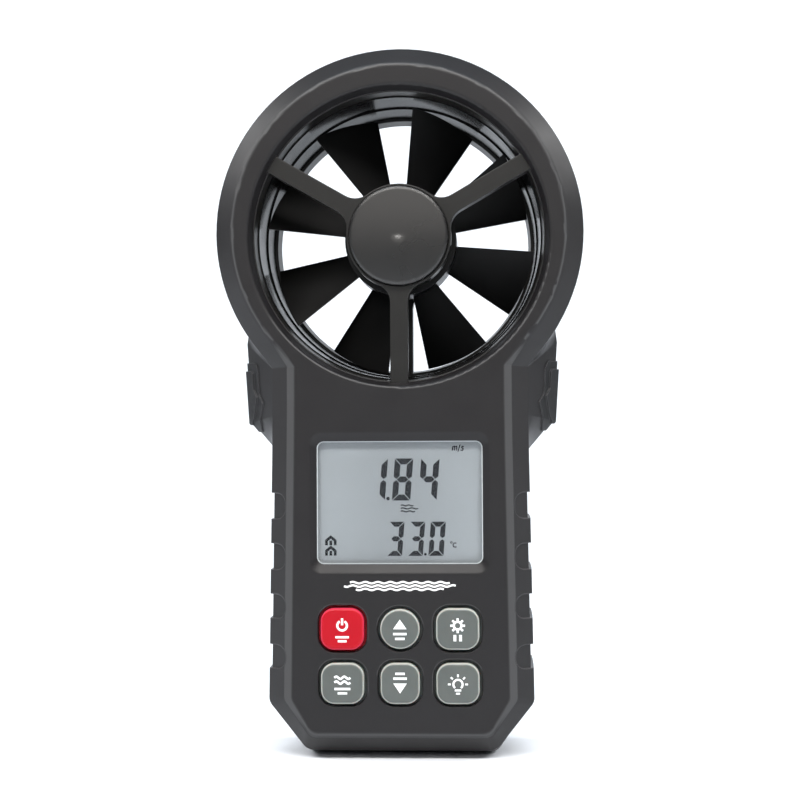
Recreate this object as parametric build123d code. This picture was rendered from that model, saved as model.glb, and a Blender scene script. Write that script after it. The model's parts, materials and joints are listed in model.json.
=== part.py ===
from build123d import *
from math import cos, hypot, radians, sin, tan
import os

# ---------------------------------------------------------------------------
# Hand-held vane anemometer, in millimetres.
# Frame: +Z up the handle towards the vane ring, the display and keys face -Y,
# origin on the base face, under the middle of the overall box.
# "Depth" is measured from the front face towards the back.
# ---------------------------------------------------------------------------

# Overall depths
KEY_RISE = 1.0
BODY_DEPTH = 37.0
FRONT_Y = -(BODY_DEPTH + KEY_RISE) / 2 + KEY_RISE
PARTING = BODY_DEPTH / 2
WALL = 2.2

# Vane ring and wind axis; the outer form of the ring is centred a little above the axis
WIND_Z = 132.0
RING_RISE = 1.2
RING_Z = WIND_Z + RING_RISE
RING_R = 46.8
RING_FACE_R = 42.05
BORE_EDGE_R = 38.2
LIP_R = 37.0
LIP_DEPTH = 3.0
SEAT_R = 39.0
SEAT_WALL_R = 40.9
LINER_OUT_R = 38.9
LINER_GAP = 0.5
GUARD_BACK = 7.0
REAR_GUARD_FRONT = 29.6
SEAM_HALF = 0.25
RIDGE_ROUND = 1.5
# Roundings of the rims in the front face, each for rims between two lengths round
RIM_ROUNDS = [(0.8, 200, 300), (0.7, 100, 200), (0.45, 20, 60)]
LIP_GAP = 0.3

# Body outlines, right-hand half, from the ring down to the base: (x, z)
FACE_OUTLINE = [(26.3, 98.9), (26.3, 91.0), (26.4, 80.0), (27.3, 15.4), (22.6, 6.8)]
FACET_OUTLINE = [(28.3, 98.9), (28.3, 90.0), (28.4, 79.9), (29.3, 15.2), (22.8, 5.6)]
EDGE_OUTLINE = [(32.5, 98.8), (32.5, 86.5), (32.6, 79.4), (33.6, 14.2), (23.9, 2.0)]
SIDE_OUTLINE = [(40.2, 105.4), (38.9, 85.2), (32.7, 77.9), (33.7, 13.8), (24.0, 0.0)]
# Depth, ring radius, angle below the ring's centre at which the neck leaves the ring, outline
SECTIONS = [
    (0.0, RING_FACE_R, 41.8, FACE_OUTLINE),
    (0.8, 42.9, 40.6, FACET_OUTLINE),
    (5.0, RING_R, 35.2, EDGE_OUTLINE),
    (14.5, RING_R, 31.8, SIDE_OUTLINE),
]
CORNER_RADII = {3: 3.2, 4: 3.6}

# Display
WINDOW_Z = 64.65
WINDOW_W, WINDOW_H = 41.8, 30.9
BEZEL_W, BEZEL_H = 45.2, 35.4
BEZEL_DEPTH = 1.5
PANE_W, PANE_H = 45.3, 34.3
PANE_BACK = 2.7
LCD_W, LCD_H = 46.0, 36.0
LCD_FRONT, LCD_BACK = 2.9, 4.9
LCD_FRAME_W, LCD_FRAME_H = 48.6, 38.0
BOARD_FRONT = 8.6
BOARD_BACK = BOARD_FRONT + 1.6

# Keys: name, column, row, width, height, corner radius
KEY_PITCH_X = 14.45
KEY_ROWS = {"top": 33.1, "bottom": 19.5}
KEYS = [
    ("power", -1, "top", 10.9, 10.4, 3.4),
    ("up", 0, "top", 9.9, 9.9, 4.94),
    ("set", 1, "top", 10.8, 10.3, 3.4),
    ("mode", -1, "bottom", 10.8, 10.2, 3.4),
    ("down", 0, "bottom", 9.8, 10.2, 3.4),
    ("light", 1, "bottom", 10.8, 10.2, 3.4),
]
KEY_GAP = 0.65
KEY_FLANGE = 1.1
FLANGE_FRONT, FLANGE_BACK = 2.3, 3.1
STEM_R, STEM_BACK = 2.0, 6.8
PILL_BACK = 7.6
MAT_FRONT = 7.7
COLLAR_FRONT = 4.9

# Impeller
BLADES = 8
BLADE_CENTRE_DEG = 25.4
BLADE_SPAN_DEG = 28.2
BLADE_PITCH_DEG = 37.5
# Radius of the blade tips at the front and at the back, following the taper of the duct
BLADE_TIP, BLADE_TIP_BACK = 34.6, 33.4
BLADE_THICK = 0.9
IMPELLER_MID = 19.6
HUB_R = 14.4
HUB_FRONT, HUB_BACK = 12.4, 26.8

# Guards
ARM_W = 4.5
ARM_END_R = 37.7
ARM_FRONT = 2.6
GUARD_HUB_R = 13.3
ARM_ANGLES = (30, 150, 270)
HUB_CAP_R = 12.6
HUB_CAP_GAP = 0.1
CAP_BACK = 3.0
SENSOR_R = 9.0

# Bearings and axle
BEARING_R = 2.6
JOURNAL_R = 1.0
AXLE_R = 1.6
RUNNING_GAP = 0.04
END_PLAY = 0.3
FRONT_BEARING = (5.0, 8.6)
REAR_BEARING = (29.9, 33.2)

# Battery bay, on the back
BAY_HALF_W, BAY_LOW, BAY_HIGH = 14.2, 14.5, 69.5
BAY_FLOOR = 16.4
BAY_WALL = 1.4
DOOR_HALF_W, DOOR_HIGH = 17.0, 72.0
DOOR_THICK = 2.0
DOOR_GAP = 0.25
HINGE_Z, HINGE_DEPTH = 12.0, 35.4
HINGE_R = 1.6
HINGE_GAP = 0.3
HINGE_PIN_R = 0.75
FRAME_HALF_W, FRAME_LOW, FRAME_HIGH = 19.3, 8.6, 73.6
BATTERY_W, BATTERY_H, BATTERY_D = 26.5, 46.4, 17.5
BATTERY_LOW, BATTERY_FRONT = 14.8, 16.6
BATTERY_MID = BATTERY_FRONT + BATTERY_D / 2

# Tripod insert: 1/4 inch 20 UNC, drawn at its minor radius
TRIPOD_Z = 81.0
TRIPOD_R = 2.6
TRIPOD_LONG = 9.0
TRIPOD_HEX_R = 5.0
TRIPOD_BACK = 36.8

# Fasteners
RING_SCREW_R = 42.6
SCREW_SITES = [
    (RING_SCREW_R * cos(radians(58)), WIND_Z + RING_SCREW_R * sin(radians(58))),
    (-RING_SCREW_R * cos(radians(58)), WIND_Z + RING_SCREW_R * sin(radians(58))),
    (22.5, 92.0),
    (-22.5, 92.0),
    (22.5, 11.5),
    (-22.5, 11.5),
]
SCREW_SHANK_R, SCREW_HEAD_R = 1.05, 1.9
SCREW_SEAT = 33.8
SCREW_HEAD_GAP = 0.25
BOARD_SCREW_R = 0.9
LEAD_R = 0.6
LEAD_DEPTH = 6.1
BOARD_SCREW_SITES = [(24.5, 86.0), (-24.5, 86.0), (24.5, 41.5), (-24.5, 41.5)]
BOARD_HALF_W, BOARD_LOW, BOARD_HIGH = 27.0, 17.0, 88.0

# Grip notches and side pads
NOTCHES = [(60.5, 67.1), (47.7, 54.3), (35.4, 41.5), (22.8, 28.8)]
NOTCH_IN_X = 28.9
NOTCH_DEEP = 0.7
NOTCH_ROUND = 2.5
PAD_BASE_RISE, PAD_TOP_RISE = 0.4, 0.9
# Front edge of the pad, from the top down: (depth, z); the back edge mirrors it
PAD_BASE = [(11.4, 100.5), (10.4, 98.8), (10.4, 92.2), (8.8, 90.0), (10.8, 84.6), (12.6, 82.6)]
PAD_TOP = [(12.4, 98.4), (11.8, 97.8), (11.8, 93.4), (10.6, 91.6), (12.2, 86.4), (13.6, 84.4)]


# ------------------------------ helpers ------------------------------------
def at_depth(depth):
    """Plane facing the front, at a depth behind the front face; local x, y are X, Z."""
    return Plane(origin=(0, FRONT_Y + depth, 0), x_dir=(1, 0, 0), z_dir=(0, -1, 0))


def slab(sketch, front, back):
    """A sketch drawn in X, Z and thickened between two depths."""
    return extrude(at_depth(back) * sketch, amount=back - front)


def disc(radius, front, back, x=0.0, z=WIND_Z):
    return slab(Pos(x, z) * Circle(radius), front, back)


def tube(outer, inner, front, back, x=0.0, z=WIND_Z):
    return slab(Pos(x, z) * (Circle(outer) - Circle(inner)), front, back)


def plate(width, height, front, back, x=0.0, z=0.0, corner=0.0):
    shape = RectangleRounded(width, height, corner) if corner else Rectangle(width, height)
    return slab(Pos(x, z) * shape, front, back)


def turned(profile):
    """A profile of (radius, depth) points turned about the wind axis."""
    points = [(r, FRONT_Y + depth) for r, depth in profile]
    face = make_face(Polyline(*[(r, y, WIND_Z) for r, y in points], close=True))
    return revolve(face, axis=Axis((0, 0, WIND_Z), (0, 1, 0)))


def group(shapes):
    """Separate solids kept side by side as one node."""
    solids = [solid for shape in shapes for solid in shape.solids()]
    return solids[0] if len(solids) == 1 else Compound(children=solids)


def joined(shapes):
    whole = shapes[0]
    for shape in shapes[1:]:
        whole = whole + shape
    return whole


def round_wind(shape, angle):
    """Turned about the wind axis, anticlockwise as seen from the front."""
    return shape.rotate(Axis((0, 0, WIND_Z), (0, -1, 0)), angle)


def rod(points, radius, bend):
    """A round lead along points given as (x, depth, z), with bent corners."""
    path = FilletPolyline(*[(x, FRONT_Y + depth, z) for x, depth, z in points], radius=bend)
    return sweep(Plane(origin=path @ 0, z_dir=path % 0) * Circle(radius), path=path)


def moved_in(chain, inset):
    """The corners of an open chain of straight lines, each line moved to its right by an inset."""
    lines = []
    for (x0, z0), (x1, z1) in zip(chain, chain[1:]):
        long = hypot(x1 - x0, z1 - z0)
        shift_x, shift_z = inset * (z1 - z0) / long, -inset * (x1 - x0) / long
        lines.append((x0 + shift_x, z0 + shift_z, x1 - x0, z1 - z0))
    corners = []
    for (ax, az, adx, adz), (bx, bz, bdx, bdz) in zip(lines, lines[1:]):
        share = ((bx - ax) * bdz - (bz - az) * bdx) / (adx * bdz - adz * bdx)
        corners.append((ax + adx * share, az + adz * share))
    return corners


def handle_face(ring_r, leave_deg, points, inset):
    """One section of the handle; it runs up into the ring as a wedge."""
    leave = (ring_r * cos(radians(leave_deg)), RING_Z - ring_r * sin(radians(leave_deg)))
    right = moved_in([(0, RING_Z), leave, *points, (0, points[-1][1])], inset)
    corners = [(0, RING_Z), *right, *[(-x, z) for x, z in reversed(right)]]
    face = make_face(Polyline(*corners, close=True))
    for index, radius in CORNER_RADII.items():
        x, z = right[index + 1]
        for side in (1, -1):
            corner = face.vertices().sort_by_distance((side * x, z, 0))[0]
            face = fillet(corner, max(radius - inset, 0.6))
    return face


def near_sections(inset):
    """The front half's sections, without those that a form moved inwards doesn't reach."""
    front, *deeper = SECTIONS
    return [(inset, *front[1:])] + [section for section in deeper if section[0] > inset]


def ring_form(inset):
    """The outer form of the ring, turned about an axis a little above the wind axis."""
    edge = [(ring_r - inset, depth) for depth, ring_r, *rest in near_sections(inset)[:-1]]
    edge += [(r, BODY_DEPTH - depth) for r, depth in reversed(edge)]
    corners = [(0, inset), *edge, (0, BODY_DEPTH - inset)]
    return Pos(0, 0, RING_RISE) * turned(corners)


def body_form(inset=0.0):
    """The outside of the whole case, or the same form moved inwards by an inset."""
    near = near_sections(inset)
    far = [(BODY_DEPTH - depth, *rest) for depth, *rest in reversed(near)]
    faces = [at_depth(row[0]) * handle_face(*row[1:], inset) for row in near + far]
    spans = [loft([front, back], ruled=True) for front, back in zip(faces, faces[1:])]
    return group([joined([*spans, ring_form(inset)])])


# ------------------------------ case ---------------------------------------
def soft_form():
    """The outside form, with the ridge round the front and back faces rounded."""
    form = body_form()
    for face_index in (0, -1):
        ridge = form.faces().sort_by(Axis.Y)[face_index].outer_wire().edges()
        form = fillet(ridge, RIDGE_ROUND)
    return form


def hollow_form(form):
    """The case as one shell: a wall all round, and the wall that seats the duct liner."""
    seat = disc(SEAT_WALL_R, 0, BODY_DEPTH)
    return form - (body_form(WALL) - seat)


def seam_groove(form):
    """A fine line round the outside where the two halves meet."""
    band = plate(200, 400, PARTING - SEAM_HALF, PARTING + SEAM_HALF)
    return (form - body_form(0.35)) & band


def grip_notches(form):
    """Four shallow recesses down each flank, D-shaped where they run onto the front and back."""
    prisms = []
    for low, high in NOTCHES:
        for side in (1, -1):
            middle = side * (NOTCH_IN_X + 10)
            prisms.append(plate(20, high - low, -1, BODY_DEPTH + 1, middle, (low + high) / 2, NOTCH_ROUND))
    return (form - body_form(NOTCH_DEEP)) & joined(prisms)


def window_cut():
    """Bevelled surround of the display, the opening, and the pocket of the pane behind it."""
    outer = at_depth(-0.02) * Pos(0, WINDOW_Z - 0.1) * RectangleRounded(BEZEL_W, BEZEL_H, 3.0)
    inner = at_depth(BEZEL_DEPTH - 0.3) * Pos(0, WINDOW_Z) * RectangleRounded(WINDOW_W, WINDOW_H, 1.8)
    slope = loft([outer, inner])
    opening = plate(WINDOW_W, WINDOW_H, 0, WALL + 1, 0, WINDOW_Z, 1.8)
    pocket = plate(PANE_W + 0.2, PANE_H + 0.2, BEZEL_DEPTH, WALL + 1, 0, WINDOW_Z, 1.0)
    return joined([slope, opening, pocket])


def key_centre(key):
    name, column, row, width, height, corner = key
    return column * KEY_PITCH_X, KEY_ROWS[row]


def key_holes():
    holes = []
    for key in KEYS:
        x, z = key_centre(key)
        width, height, corner = key[3:]
        holes.append(plate(width + 2 * KEY_GAP, height + 2 * KEY_GAP, -1, WALL + 1, x, z, corner + KEY_GAP))
    return joined(holes)


def bore_cut(mouth, shoulder):
    """The bore of one half: a bevelled lip down to the shoulder, then the seat of the liner."""
    lip = turned([(0, mouth), (BORE_EDGE_R, mouth), (LIP_R, shoulder), (0, shoulder)])
    return lip + disc(SEAT_R, min(shoulder, PARTING), max(shoulder, PARTING))


def arm_end_cuts(front, back):
    """Room in the lip for the square ends of the guard arms."""
    end = plate(8, ARM_W + 2 * LIP_GAP, front, back, ARM_END_R + LIP_GAP - 4, WIND_Z)
    return joined([round_wind(end, angle) for angle in ARM_ANGLES])


def lead_hole():
    """Where the sensor lead leaves the duct for the handle."""
    path = Plane(origin=(0, FRONT_Y + LEAD_DEPTH, WIND_Z - SEAT_WALL_R - 2), z_dir=(0, 0, 1))
    return extrude(path * Circle(LEAD_R + 0.5), amount=4.5)


def soften_rims(case):
    """Round the rims of the bore, the display surround and the key holes in the front face."""
    for rim_round, shortest, longest in RIM_ROUNDS:
        rims = case.faces().sort_by(Axis.Y)[0].inner_wires()
        edges = [edge for rim in rims if shortest < rim.length < longest for edge in rim.edges()]
        case = fillet(edges, rim_round)
    return case


def front_case(form, shell):
    """Front half: bore lip, display opening, key holes, screw bosses and board bosses."""
    half = plate(200, 400, -2, PARTING)
    bosses = [disc(2.6, WALL - 0.5, PARTING, x, z) for x, z in SCREW_SITES]
    bosses += [disc(2.2, WALL - 0.5, BOARD_FRONT, x, z) for x, z in BOARD_SCREW_SITES]
    case = (shell & half) + (joined(bosses) & form)
    case -= bore_cut(0, LIP_DEPTH)
    case -= arm_end_cuts(ARM_FRONT - LIP_GAP, LIP_DEPTH + 0.1)
    case -= window_cut()
    case -= key_holes()
    case -= lead_hole()
    case -= joined([disc(SCREW_SHANK_R + 0.02, 8.0, PARTING, x, z) for x, z in SCREW_SITES])
    case -= joined([disc(BOARD_SCREW_R + 0.02, 4.0, BOARD_FRONT, x, z) for x, z in BOARD_SCREW_SITES])
    return group([soften_rims(group([case]))])


def hinge_line(radius, half_long):
    """A cylinder along X on the hinge line of the battery door."""
    start = Plane(origin=(-half_long, FRONT_Y + HINGE_DEPTH, HINGE_Z), z_dir=(1, 0, 0))
    return extrude(start * Circle(radius), amount=2 * half_long)


def box_between(half_w, low, high, front, back):
    return plate(2 * half_w, high - low, front, back, 0, (low + high) / 2)


def rear_case(form, shell):
    """Rear half: bore lip, battery bay with its door frame, tripod boss and screw bosses."""
    half = plate(200, 400, PARTING, BODY_DEPTH + 2)
    frame = box_between(FRAME_HALF_W, FRAME_LOW, FRAME_HIGH, HINGE_DEPTH - 2.4, BODY_DEPTH)
    posts = [frame, disc(TRIPOD_HEX_R + 2.0, TRIPOD_BACK - TRIPOD_LONG - 2.5, BODY_DEPTH, 0, TRIPOD_Z)]
    posts += [disc(3.0, PARTING, BODY_DEPTH, x, z) for x, z in SCREW_SITES]
    tub = box_between(
        BAY_HALF_W + BAY_WALL, BAY_LOW - BAY_WALL, BAY_HIGH + BAY_WALL, BAY_FLOOR - BAY_WALL, BODY_DEPTH
    )
    case = (shell & half) + (joined(posts) & form) + (tub & form)
    case -= bore_cut(BODY_DEPTH, BODY_DEPTH - LIP_DEPTH)
    case -= arm_end_cuts(BODY_DEPTH - LIP_DEPTH - 0.1, BODY_DEPTH - ARM_FRONT + LIP_GAP)
    case -= box_between(BAY_HALF_W, BAY_LOW, BAY_HIGH, BAY_FLOOR, BODY_DEPTH + 1)
    case -= box_between(
        DOOR_HALF_W + DOOR_GAP, HINGE_Z, DOOR_HIGH + DOOR_GAP, BODY_DEPTH - DOOR_THICK - 0.1, BODY_DEPTH + 1
    )
    case -= hinge_line(HINGE_R + HINGE_GAP, DOOR_HALF_W + DOOR_GAP)
    case -= box_between(
        DOOR_HALF_W + DOOR_GAP, HINGE_Z - HINGE_R - HINGE_GAP, HINGE_Z, HINGE_DEPTH, BODY_DEPTH + 1
    )
    case -= hinge_line(HINGE_PIN_R + 0.03, DOOR_HALF_W + 1.8)
    case -= disc(5.0, BODY_DEPTH - 1.6, BODY_DEPTH + 1, 0, DOOR_HIGH + 2.2) & box_between(
        6, DOOR_HIGH, DOOR_HIGH + 8, 30, 40
    )
    case -= tripod_hexagon(TRIPOD_BACK - TRIPOD_LONG, BODY_DEPTH + 1)
    case -= box_between(3.5, BAY_HIGH - 1, BAY_HIGH + 3, 19.0, 23.5)
    recess_r = SCREW_HEAD_R + SCREW_HEAD_GAP
    case -= joined([disc(SCREW_SHANK_R + 0.05, 10, BODY_DEPTH, x, z) for x, z in SCREW_SITES])
    case -= joined([disc(recess_r, SCREW_SEAT, BODY_DEPTH + 1, x, z) for x, z in SCREW_SITES])
    return group([case])


def side_pads():
    """Chevron-shaped elastomer pads, one on each side of the neck, each in two levels."""
    form = body_form()
    levels = []
    for rise, edge in ((PAD_BASE_RISE, PAD_BASE), (PAD_TOP_RISE, PAD_TOP)):
        outline = edge + [(BODY_DEPTH - depth, z) for depth, z in reversed(edge)]
        corners = [(0, FRONT_Y + depth, z) for depth, z in outline]
        prism = extrude(make_face(Polyline(*corners, close=True)), amount=60, dir=(1, 0, 0))
        levels.append((body_form(-rise) - form) & prism)
    pad = joined(levels)
    return group([pad]), group([mirror(pad, about=Plane.YZ)])


# ------------------------------ duct and guards ----------------------------
def guard_outline(hub_r, arm_end):
    """Hub disc with three arms, blended where they meet."""
    shape = Circle(hub_r)
    for angle in ARM_ANGLES:
        shape += Rot(0, 0, angle) * Pos(arm_end / 2, 0) * Rectangle(arm_end, ARM_W)
    inner_corners = [v for v in shape.vertices() if abs(hypot(v.X, v.Y) - hub_r) < 0.01]
    return Pos(0, WIND_Z) * fillet(inner_corners, 5.0)


def front_guard():
    """Ring, three arms and hub in one moulding, with the seats of cap, bearing and sensor."""
    near, far = LIP_DEPTH, GUARD_BACK
    ring = turned([(LINER_OUT_R, near), (36.8, near), (36.3, far), (LINER_OUT_R, far)])
    arms = slab(guard_outline(GUARD_HUB_R, ARM_END_R), ARM_FRONT, GUARD_BACK)
    guard = ring + arms + disc(GUARD_HUB_R, ARM_FRONT, FRONT_BEARING[1])
    guard -= disc(HUB_CAP_R + HUB_CAP_GAP, 0, CAP_BACK)
    guard -= disc(BEARING_R, FRONT_BEARING[0], 12)
    guard -= plate(5.2, 4.2, 7.0, 12, 0, WIND_Z - SENSOR_R)
    guard -= plate(2 * LEAD_R + 0.5, 60, LEAD_DEPTH - LEAD_R - 0.2, 12, 0, WIND_Z - SENSOR_R - 30)
    return group([guard])


def hub_cap():
    """Cap that closes the front of the guard hub, its face a very shallow ball cap."""
    shoulder_r, rise = HUB_CAP_R - 0.6, 0.6
    ball_r = (shoulder_r**2 + rise**2) / (2 * rise)
    halfway = ball_r - (ball_r**2 - (shoulder_r / 2) ** 2) ** 0.5
    middle = (0, FRONT_Y + 0.3, WIND_Z)
    shoulder = (shoulder_r, FRONT_Y + 0.3 + rise, WIND_Z)
    rim = (HUB_CAP_R, FRONT_Y + 1.5, WIND_Z)
    foot = (HUB_CAP_R, FRONT_Y + CAP_BACK, WIND_Z)
    centre = (0, FRONT_Y + CAP_BACK, WIND_Z)
    dome = ThreePointArc(middle, (shoulder_r / 2, FRONT_Y + 0.3 + halfway, WIND_Z), shoulder)
    edge = ThreePointArc(shoulder, (HUB_CAP_R - 0.18, FRONT_Y + 1.08, WIND_Z), rim)
    face = make_face(Curve() + [dome, edge, Line(rim, foot), Line(foot, centre), Line(centre, middle)])
    return revolve(face, axis=Axis((0, 0, WIND_Z), (0, 1, 0)))


def rear_guard():
    """Ring, three arms and hub behind the impeller, with the rear bearing seat."""
    near, far = REAR_GUARD_FRONT, BODY_DEPTH - LIP_DEPTH
    ring = turned([(LINER_OUT_R, near), (33.9, near), (33.3, far), (LINER_OUT_R, far)])
    arms = slab(guard_outline(GUARD_HUB_R, ARM_END_R), near + 0.4, BODY_DEPTH - ARM_FRONT)
    hub = disc(GUARD_HUB_R, near, BODY_DEPTH - 1.2)
    guard = (ring + arms + hub) - disc(BEARING_R, 0, REAR_BEARING[1])
    rim = [e for e in guard.edges().filter_by(GeomType.CIRCLE).group_by(Axis.Y)[-1]]
    return group([fillet(rim, 1.0)])


def duct_liner_front():
    near, far = GUARD_BACK, PARTING - LINER_GAP / 2
    return turned([(LINER_OUT_R, near), (36.0, near), (35.5, far), (LINER_OUT_R, far)])


def duct_liner_rear():
    near, far = PARTING + LINER_GAP / 2, REAR_GUARD_FRONT
    return turned([(LINER_OUT_R, near), (35.1, near), (34.6, far), (LINER_OUT_R, far)])


def bearing(front, back):
    return tube(BEARING_R, JOURNAL_R + RUNNING_GAP, front, back)


# ------------------------------ impeller -----------------------------------
def blade():
    """A flat paddle: a fan-shaped sector cut from a plate tilted about its radial line."""
    half = radians(BLADE_SPAN_DEG / 2)
    tilted = Rot(BLADE_PITCH_DEG, 0, 0) * Box(2 * BLADE_TIP + 10, 40, BLADE_THICK)
    reach = BLADE_TIP + 6
    wedge = Polygon((0, 0), (reach, -reach * tan(half)), (reach, reach * tan(half)), align=None)
    fan = wedge - Circle(HUB_R - 0.8)
    paddle = at_depth(IMPELLER_MID) * Pos(0, WIND_Z) * (tilted & extrude(fan, amount=20, both=True))
    sweep_room = [(0, HUB_FRONT), (BLADE_TIP, HUB_FRONT), (BLADE_TIP_BACK, HUB_BACK), (0, HUB_BACK)]
    return paddle & turned(sweep_room)


def impeller():
    """Cup-shaped hub with eight paddles."""
    hub = turned(
        [
            (AXLE_R, HUB_FRONT),
            (HUB_R, HUB_FRONT),
            (HUB_R, HUB_BACK),
            (HUB_R - 1.6, HUB_BACK),
            (HUB_R - 1.6, HUB_FRONT + 2.2),
            (3.4, HUB_FRONT + 2.2),
            (3.4, HUB_BACK),
            (AXLE_R, HUB_BACK),
        ]
    )
    first = blade()
    paddles = [round_wind(first, BLADE_CENTRE_DEG + k * 360 / BLADES) for k in range(BLADES)]
    wheel = joined([hub, *paddles])
    return group([wheel - magnets()])


def magnets():
    discs = [disc(1.5, HUB_FRONT, HUB_FRONT + 1.4, 0, WIND_Z + side * SENSOR_R) for side in (1, -1)]
    return group([round_wind(shape, 45) for shape in discs])


def impeller_axle():
    """Stepped steel axle: thick through the hub, thin in the two bearings."""
    front, back = FRONT_BEARING[1] + END_PLAY, REAR_BEARING[0] - END_PLAY
    return joined(
        [
            disc(AXLE_R, front, back),
            disc(JOURNAL_R, FRONT_BEARING[0] + 0.5, front),
            disc(JOURNAL_R, back, REAR_BEARING[1] - 0.5),
        ]
    )


# ------------------------------ display and board --------------------------
def display_window():
    return plate(PANE_W, PANE_H, BEZEL_DEPTH, PANE_BACK, 0, WINDOW_Z, 0.9)


def lcd_panel():
    """Two glass plates; the rear one is longer, for the contacts along its lower edge."""
    front = plate(LCD_W, LCD_H - 2.4, LCD_FRONT, LCD_FRONT + 1.0, 0, WINDOW_Z + 1.2)
    return front + plate(LCD_W, LCD_H, LCD_FRONT + 1.0, LCD_BACK, 0, WINDOW_Z)


def lcd_frame():
    outer = plate(LCD_FRAME_W, LCD_FRAME_H, LCD_FRONT, BOARD_FRONT, 0, WINDOW_Z, 1.5)
    return outer - plate(LCD_W + 0.1, LCD_H + 0.1, 0, 12, 0, WINDOW_Z)


def backlight_panel():
    return plate(LCD_W - 1.0, LCD_H - 4.6, LCD_BACK, BOARD_FRONT, 0, WINDOW_Z + 1.8)


def elastomer_connector():
    return plate(LCD_W - 4.0, 1.8, LCD_BACK, BOARD_FRONT, 0, WINDOW_Z - LCD_H / 2 + 1.2)


def main_board():
    board = box_between(BOARD_HALF_W, BOARD_LOW, BOARD_HIGH, BOARD_FRONT, BOARD_BACK)
    return board - joined([disc(BOARD_SCREW_R + 0.2, 0, 20, x, z) for x, z in BOARD_SCREW_SITES])


def board_components():
    """Controller, amplifier, crystal, capacitors and resistors on the back of the board."""
    places = [
        (12.0, 12.0, 1.6, 0.0, 60.0),
        (5.0, 6.0, 1.5, -17.0, 56.0),
        (5.0, 4.0, 1.5, 16.0, 52.0),
        (6.0, 3.8, 2.4, 11.0, 75.0),
        (4.0, 3.0, 2.0, -16.0, 70.0),
        (4.0, 3.0, 2.0, 16.0, 66.0),
    ]
    chips = [plate(w, h, BOARD_BACK, BOARD_BACK + thick, x, z) for w, h, thick, x, z in places]
    resistors = [plate(2.0, 1.2, BOARD_BACK, BOARD_BACK + 0.7, -20 + 5 * k, 44.0) for k in range(9)]
    drums = [disc(2.5, BOARD_BACK, BOARD_BACK + 4.0, x, 80.0) for x in (-18.0, -11.0)]
    return group(chips + resistors + drums)


def buzzer():
    can = tube(6.0, 1.2, BOARD_BACK, BOARD_BACK + 3.2, 0, 30.0)
    return can + disc(5.4, BOARD_BACK, BOARD_BACK + 0.6, 0, 30.0)


def temperature_sensor():
    """A small bead with two legs, on the top corner of the board."""
    bead = at_depth(BOARD_BACK + 1.4) * Pos(13.0, 84.0) * Sphere(1.4)
    return bead + box_between(0.5, 81.0, 83.4, BOARD_BACK, BOARD_BACK + 1.4).moved(Location((13.0, 0, 0)))


def hall_sensor():
    return plate(5.0, 4.0, 7.0, FRONT_BEARING[1], 0, WIND_Z - SENSOR_R)


def sensor_lead():
    """From the sensor, along the back of the lower arm, into the handle and to the board."""
    points = [
        (0, LEAD_DEPTH, WIND_Z - SENSOR_R - 2.2),
        (0, LEAD_DEPTH, BOARD_HIGH - 2.5),
        (0, BOARD_FRONT, BOARD_HIGH - 2.5),
    ]
    return rod(points, LEAD_R, 1.2)


# ------------------------------ keys ---------------------------------------
def keycap(key):
    """Proud cap with softened edges, a flange behind the case wall and a stem."""
    name, column, row, width, height, corner = key
    x, z = key_centre(key)
    cap = plate(width, height, -KEY_RISE, FLANGE_FRONT, x, z, corner)
    cap = fillet(cap.faces().sort_by(Axis.Y)[0].outer_wire().edges(), 0.8)
    flange = plate(width + 2 * KEY_FLANGE, height + 2 * KEY_FLANGE, FLANGE_FRONT, FLANGE_BACK, x, z, corner)
    return joined([cap, flange, disc(STEM_R, FLANGE_BACK, STEM_BACK, x, z)])


def key_pill(key):
    x, z = key_centre(key)
    return disc(STEM_R, STEM_BACK, PILL_BACK, x, z)


def keypad_mat():
    """Silicone sheet on the board, with a collar round each key stem."""
    sheet = plate(42.0, 25.4, MAT_FRONT, BOARD_FRONT, 0, 26.3, 2.0)
    centres = [key_centre(key) for key in KEYS]
    sheet += joined([disc(STEM_R + 1.8, COLLAR_FRONT, MAT_FRONT, x, z) for x, z in centres])
    return group([sheet - joined([disc(STEM_R + 0.7, 0, 12, x, z) for x, z in centres])])


# ------------------------------ power --------------------------------------
def battery_door():
    """Flat door with a rounded hinge edge, a finger notch and three grip grooves."""
    inner, outer = BODY_DEPTH - DOOR_THICK, BODY_DEPTH
    door = box_between(DOOR_HALF_W, HINGE_Z, DOOR_HIGH, inner, outer)
    door += hinge_line(HINGE_R, DOOR_HALF_W)
    grooves = [plate(14, 0.9, outer - 0.5, outer + 1, 0, DOOR_HIGH - 5 - 2.2 * k, 0.44) for k in range(3)]
    door -= joined(grooves)
    door -= hinge_line(HINGE_PIN_R + 0.05, 40)
    return group([door])


def door_pad():
    return plate(20, 28, BATTERY_FRONT + BATTERY_D + 0.1, BODY_DEPTH - DOOR_THICK, 0, 40, 2.0)


def hinge_pin():
    return hinge_line(HINGE_PIN_R, DOOR_HALF_W + 1.7)


def battery():
    middle = BATTERY_LOW + BATTERY_H / 2
    return plate(BATTERY_W, BATTERY_H, BATTERY_FRONT, BATTERY_FRONT + BATTERY_D, 0, middle, 0.8)


def battery_post(x, radius, height):
    """A snap terminal standing on the top of the battery."""
    top = Plane(origin=(x, FRONT_Y + BATTERY_MID, BATTERY_LOW + BATTERY_H), z_dir=(0, 0, 1))
    return extrude(top * Circle(radius), amount=height)


def battery_terminals():
    return group([battery_post(-6.35, 2.9, 2.6), battery_post(6.35, 4.0, 2.4)])


def battery_connector():
    """Snap connector pressed over the two battery terminals."""
    top = BATTERY_LOW + BATTERY_H
    cap = plate(26.0, 3.2, BATTERY_MID - 6.5, BATTERY_MID + 6.5, 0, top + 2.7, 0.6)
    return group([cap - battery_post(-6.35, 3.1, 2.7) - battery_post(6.35, 4.2, 2.5)])


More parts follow.
